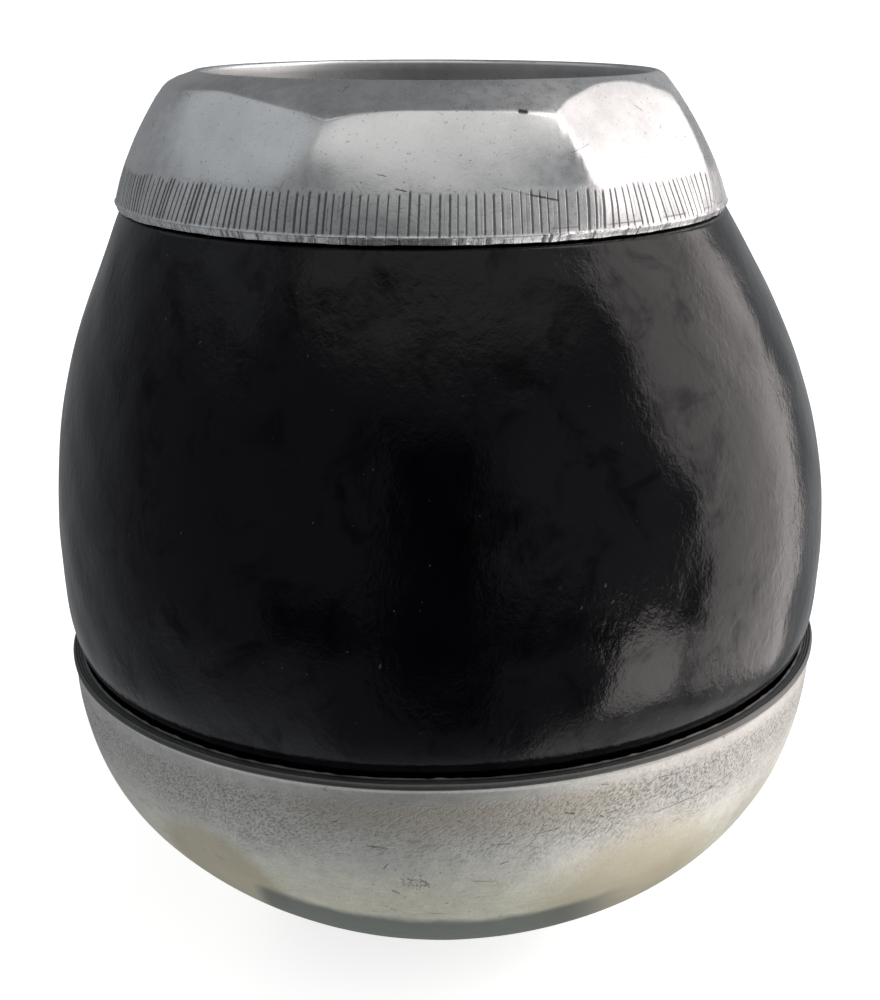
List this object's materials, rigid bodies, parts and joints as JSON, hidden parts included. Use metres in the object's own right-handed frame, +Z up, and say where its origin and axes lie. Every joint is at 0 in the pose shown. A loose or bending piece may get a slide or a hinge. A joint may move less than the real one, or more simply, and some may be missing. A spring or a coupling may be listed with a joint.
{
  "type": "mate gourd cup",
  "caption": "Round mate cup: a black lacquered gourd shell in an aluminium base cup, with a faceted aluminium rim collar engraved with tick marks and folded into the mouth.",
  "frame": {"origin": "centre of the flat foot under the base cup, on the surface the cup stands on", "axes": "+Z up through the mouth, -Y towards the pictured side, +X to the right of it"},
  "size_m": [0.0858, 0.0858, 0.095],
  "materials": {
    "base_aluminium": "worn satin, fine pits and horizontal scratches",
    "black_gourd": "gloss black lacquer over fine wrinkles",
    "collar_aluminium": "polished by hand, light scratches, engraved ticks"
  },
  "bodies": {
    "root": {"base_cup": "base_aluminium", "gourd_shell": "black_gourd", "rim_collar": "collar_aluminium"}
  },
  "joints": []
}
